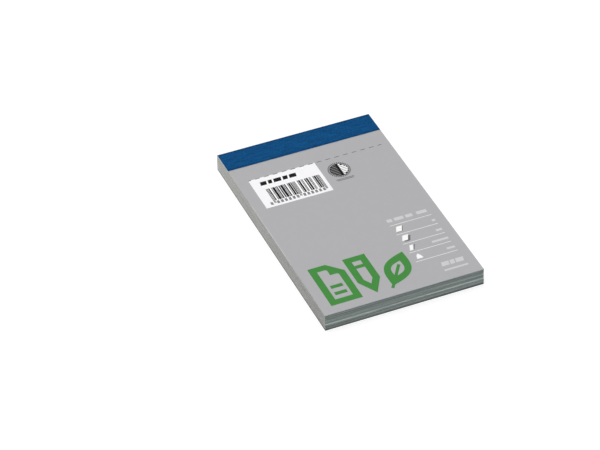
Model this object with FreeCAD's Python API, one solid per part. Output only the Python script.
import FreeCAD, Part
import math
import os

# Pocket legal pad, closed and lying on its back board: a printed cover, a block of sheets and
# a grey board, held at the head by two wire staples and wrapped there in a strip of cloth tape.
# Millimetres. Reading the cover, +X is right and +Y is toward the bound head; +Z is up.
# The origin is the bottom centre of the whole pad.

# Trimmed size that the cover, the sheets, the board and the tape share
TRIM_WIDTH = 74.0
TRIM_LENGTH = 117.0

# Layers
SHEET_THICKNESS = 0.073
COVER_THICKNESS = 0.15
BOARD_THICKNESS = 0.6
BOARD_PROUD = 0.25

# How far the knife left the front edges of the lower lifts standing out past the cover's
SECOND_LIFT_PROUD = 0.1
THIRD_LIFT_PROUD = 0.4
LOWEST_LIFT_PROUD = 0.45

# Lifts of sheets from the cover down: how many sheets each has, and how far it stands out
SHEETS_PER_LIFT = (36, 28, 24, 12)
LIFT_PROUDS = (0.0, SECOND_LIFT_PROUD, THIRD_LIFT_PROUD, LOWEST_LIFT_PROUD)

# Within a lift the sheets lie in thin bands, each trimmed back a little more or less
SHEETS_PER_BAND = 4
TRIM_WANDER = 0.05
BAND_TURN = 2.4
FRONT_PHASE = 0.0
LEFT_PHASE = 2.1
RIGHT_PHASE = 4.2

# Tape round the head
TAPE_THICKNESS = 0.12
TAPE_ON_COVER = 12.4
TAPE_ON_BOARD = 12.4
HEAD_EDGE_RADIUS = 0.12
EDGE_ROUNDING_LIMIT = 0.8

# Staples of flat stitching wire: section, bends, crown and clinched ends, and where they go
WIRE_WIDTH = 0.7
WIRE_THICKNESS = 0.4
WIRE_BEND_RADIUS = 0.5
CROWN_WIDTH = 12.0
CLINCH_LENGTH = 4.0
STAPLE_SPACING = 38.0
STAPLE_FROM_HEAD = 6.0
WIRE_SINK = 0.02
WIRE_CLEARANCE = 0.03
DENT_CLEARANCE = 0.02

SAME_POINT = 1e-6

# Levels, from the table up: at the head the board is pressed in by the tape under it, so that
# the two lie flush on the table
TAPE_BED = TAPE_THICKNESS
BOARD_HIGH = BOARD_THICKNESS
SHEETS_HIGH = BOARD_HIGH + SHEET_THICKNESS * sum(SHEETS_PER_LIFT)
COVER_HIGH = SHEETS_HIGH + COVER_THICKNESS

# Rounding of the head edges that the tape folds round, where the layers are thick enough for it
THINNEST_HEAD = min(COVER_THICKNESS, BOARD_HIGH - TAPE_BED)
EDGE_RADIUS = min(HEAD_EDGE_RADIUS, EDGE_ROUNDING_LIMIT * THINNEST_HEAD)


def trim_recess(band, phase):
    """How far one band was trimmed back: between nothing and TRIM_WANDER."""
    return TRIM_WANDER * (1 + math.sin(band * BAND_TURN + phase)) / 2


def sheet_bands():
    """Bands of sheets from the cover down, as (top, bottom, how far the front stands out)."""
    bands = []
    top = SHEETS_HIGH
    for count, proud in zip(SHEETS_PER_LIFT, LIFT_PROUDS):
        pieces = max(1, round(count / SHEETS_PER_BAND))
        depth = count * SHEET_THICKNESS / pieces
        for _ in range(pieces):
            front = proud - trim_recess(len(bands), FRONT_PHASE)
            bands.append((top, top - depth, front))
            top -= depth
    return bands


# Ends of the layers: the head face that the tape covers, and the cover's front edge
LONGEST_PROUD = max(BOARD_PROUD, max(front for top, bottom, front in sheet_bands()))
HEAD_Y = (TRIM_LENGTH + LONGEST_PROUD - TAPE_THICKNESS) / 2
FRONT_Y = HEAD_Y - TRIM_LENGTH

# Centre line of the staple wire: its legs, its crown, its clinched ends and its bends
LEG_X = (CROWN_WIDTH - WIRE_THICKNESS) / 2
CROWN_Z = COVER_HIGH - WIRE_SINK - WIRE_THICKNESS / 2
CLINCH_Z = TAPE_BED + WIRE_SINK + WIRE_THICKNESS / 2
BEND_END_Z = CROWN_Z - WIRE_THICKNESS / 2 - WIRE_BEND_RADIUS
TIP_X = LEG_X - CLINCH_LENGTH
STAPLE_Y = HEAD_Y - STAPLE_FROM_HEAD
STAPLES = {
    "staple_left": -STAPLE_SPACING / 2,
    "staple_right": STAPLE_SPACING / 2,
}


def rounded_path(corners, closed=False):
    """Wire through corners, given as (point, radius): each corner is rounded by its radius."""
    count = len(corners)
    edges = []
    starts = []
    ends = []
    arcs = []
    for index, (point, radius) in enumerate(corners):
        if radius == 0:
            starts.append(point)
            ends.append(point)
            arcs.append(None)
            continue
        back = (corners[index - 1][0] - point).normalize()
        ahead = (corners[(index + 1) % count][0] - point).normalize()
        half_angle = back.getAngle(ahead) / 2
        reach = radius / math.tan(half_angle)
        inset = radius / math.sin(half_angle) - radius
        middle = point + (back + ahead).normalize() * inset
        starts.append(point + back * reach)
        ends.append(point + ahead * reach)
        arcs.append(Part.Arc(starts[-1], middle, ends[-1]).toShape())
    for index in range(count):
        if arcs[index]:
            edges.append(arcs[index])
        following = (index + 1) % count
        is_run = closed or following > 0
        if is_run and ends[index].distanceToPoint(starts[following]) > SAME_POINT:
            edges.append(Part.makeLine(ends[index], starts[following]))
    return Part.Wire(edges)


def full_width_strip(outline):
    """Solid as wide as the pad, from a closed outline of (y, z, radius) corners."""
    left = -TRIM_WIDTH / 2
    corners = [(FreeCAD.Vector(left, y, z), radius) for y, z, radius in outline]
    face = Part.Face(rounded_path(corners, closed=True))
    return face.extrude(FreeCAD.Vector(TRIM_WIDTH, 0, 0))


def prism(points, travel):
    """Solid swept by a polygon that moves along travel."""
    return Part.Face(Part.makePolygon(points + points[:1])).extrude(travel)


def wire_slice(middle_x, outline, swell):
    """Solid as wide as the staple wire, swollen, from a closed outline of (x, z, radius)."""
    width = WIRE_WIDTH + 2 * swell
    near_y = STAPLE_Y - width / 2
    corners = [(FreeCAD.Vector(middle_x + x, near_y, z), radius) for x, z, radius in outline]
    face = Part.Face(rounded_path(corners, closed=True))
    return face.extrude(FreeCAD.Vector(0, width, 0))


def staple(middle_x):
    """Staple driven down through the pad, its ends clinched inward under the board."""
    half = WIRE_THICKNESS / 2
    inside = WIRE_BEND_RADIUS
    outside = WIRE_BEND_RADIUS + WIRE_THICKNESS
    return wire_slice(middle_x, [
        (-TIP_X, CLINCH_Z - half, 0),
        (-LEG_X - half, CLINCH_Z - half, outside),
        (-LEG_X - half, CROWN_Z + half, outside),
        (LEG_X + half, CROWN_Z + half, outside),
        (LEG_X + half, CLINCH_Z - half, outside),
        (TIP_X, CLINCH_Z - half, 0),
        (TIP_X, CLINCH_Z + half, 0),
        (LEG_X - half, CLINCH_Z + half, inside),
        (LEG_X - half, CROWN_Z - half, inside),
        (half - LEG_X, CROWN_Z - half, inside),
        (half - LEG_X, CLINCH_Z + half, inside),
        (-TIP_X, CLINCH_Z + half, 0),
    ], 0.0)


def crown_dent(middle_x, swell):
    """Trough that a crown and its bends, swollen all round, press down from the cover's face."""
    half = WIRE_THICKNESS / 2 + swell
    inside = max(0.0, WIRE_BEND_RADIUS - swell)
    return wire_slice(middle_x, [
        (-LEG_X - half, BEND_END_Z, 0),
        (half - LEG_X, BEND_END_Z, 0),
        (half - LEG_X, CROWN_Z - half, inside),
        (LEG_X - half, CROWN_Z - half, inside),
        (LEG_X - half, BEND_END_Z, 0),
        (LEG_X + half, BEND_END_Z, 0),
        (LEG_X + half, COVER_HIGH, 0),
        (-LEG_X - half, COVER_HIGH, 0),
    ], swell)


def leg_slot(middle_x, side):
    """Slot of the leg on one side (-1 or 1), running on as its clinched end's trough."""
    half = WIRE_THICKNESS / 2 + WIRE_CLEARANCE
    inside = max(0.0, WIRE_BEND_RADIUS - WIRE_CLEARANCE)
    tip_x = TIP_X - WIRE_CLEARANCE
    return wire_slice(middle_x, [
        (side * (LEG_X + half), BEND_END_Z, 0),
        (side * (LEG_X + half), TAPE_BED, 0),
        (side * tip_x, TAPE_BED, 0),
        (side * tip_x, CLINCH_Z + half, 0),
        (side * (LEG_X - half), CLINCH_Z + half, inside),
        (side * (LEG_X - half), BEND_END_Z, 0),
    ], WIRE_CLEARANCE)


def leg_slots():
    """Slots of all four staple legs."""
    return [leg_slot(middle_x, side) for middle_x in STAPLES.values() for side in (-1, 1)]


def front_cover():
    """Printed cover: a thin sheet, pressed down into the block along both crowns."""
    cover = full_width_strip([
        (FRONT_Y, SHEETS_HIGH, 0),
        (HEAD_Y, SHEETS_HIGH, 0),
        (HEAD_Y, COVER_HIGH, EDGE_RADIUS),
        (FRONT_Y, COVER_HIGH, 0),
    ])
    linings = [crown_dent(middle_x, WIRE_CLEARANCE + COVER_THICKNESS) for middle_x in STAPLES.values()]
    dents = [crown_dent(middle_x, WIRE_CLEARANCE) for middle_x in STAPLES.values()]
    return cover.fuse(linings).cut(dents).removeSplitter()


def front_trim():
    """Block of sheets as its front edges show it: stepped lifts, banded within each."""
    left = -TRIM_WIDTH / 2
    points = [FreeCAD.Vector(left, HEAD_Y, SHEETS_HIGH)]
    for top, bottom, front in sheet_bands():
        points.append(FreeCAD.Vector(left, FRONT_Y - front, top))
        points.append(FreeCAD.Vector(left, FRONT_Y - front, bottom))
    points.append(FreeCAD.Vector(left, HEAD_Y, BOARD_HIGH))
    return prism(points, FreeCAD.Vector(TRIM_WIDTH, 0, 0))


def side_trim():
    """Block of sheets as its two long sides show it: banded edges, none past the cover."""
    start_y = FRONT_Y - LONGEST_PROUD
    left_side = []
    right_side = []
    for band, (top, bottom, front) in enumerate(sheet_bands()):
        left = trim_recess(band, LEFT_PHASE) - TRIM_WIDTH / 2
        right = TRIM_WIDTH / 2 - trim_recess(band, RIGHT_PHASE)
        left_side += [FreeCAD.Vector(left, start_y, top), FreeCAD.Vector(left, start_y, bottom)]
        right_side += [FreeCAD.Vector(right, start_y, top), FreeCAD.Vector(right, start_y, bottom)]
    return prism(left_side + right_side[::-1], FreeCAD.Vector(0, HEAD_Y - start_y, 0))


def sheet_block():
    """All the sheets as one block, dented under the crowns and pierced by the staple legs."""
    swell = WIRE_CLEARANCE + COVER_THICKNESS + DENT_CLEARANCE
    dents = [crown_dent(middle_x, swell) for middle_x in STAPLES.values()]
    return front_trim().common(side_trim()).cut(dents + leg_slots())


def back_board():
    """Grey board under the sheets, bedded for the tape and slotted for the clinched ends."""
    front = FRONT_Y - BOARD_PROUD
    bed_end = HEAD_Y - TAPE_ON_BOARD
    board = full_width_strip([
        (front, 0, 0),
        (bed_end, 0, 0),
        (bed_end, TAPE_BED, 0),
        (HEAD_Y, TAPE_BED, EDGE_RADIUS),
        (HEAD_Y, BOARD_HIGH, 0),
        (front, BOARD_HIGH, 0),
    ])
    return board.cut(leg_slots())


def binding_tape():
    """Cloth tape folded over the head, from the cover's face round to its bed in the board."""
    outer_y = HEAD_Y + TAPE_THICKNESS
    outer_radius = EDGE_RADIUS + TAPE_THICKNESS
    cover_end = HEAD_Y - TAPE_ON_COVER
    board_end = HEAD_Y - TAPE_ON_BOARD
    return full_width_strip([
        (cover_end, COVER_HIGH, 0),
        (HEAD_Y, COVER_HIGH, EDGE_RADIUS),
        (HEAD_Y, TAPE_BED, EDGE_RADIUS),
        (board_end, TAPE_BED, 0),
        (board_end, TAPE_BED - TAPE_THICKNESS, 0),
        (outer_y, TAPE_BED - TAPE_THICKNESS, outer_radius),
        (outer_y, COVER_HIGH + TAPE_THICKNESS, outer_radius),
        (cover_end, COVER_HIGH + TAPE_THICKNESS, 0),
    ])


def build_pad():
    """Every piece of the pad, by the name of its node."""
    pieces = {
        "front_cover": front_cover(),
        "sheet_block": sheet_block(),
        "back_board": back_board(),
        "binding_tape": binding_tape(),
    }
    for name, middle_x in STAPLES.items():
        pieces[name] = staple(middle_x)
    return pieces


os.makedirs("parts", exist_ok=True)
for name, piece in build_pad().items():
    piece.exportStep(os.path.join("parts", name + ".step"))
    box = piece.optimalBoundingBox(False, False)
    print(f"{name}: {len(piece.Solids)} solid, {piece.Volume:.2f} mm3, valid {piece.isValid()}, "
          f"x {box.XMin:.3f} {box.XMax:.3f}, y {box.YMin:.3f} {box.YMax:.3f}, "
          f"z {box.ZMin:.3f} {box.ZMax:.3f}")
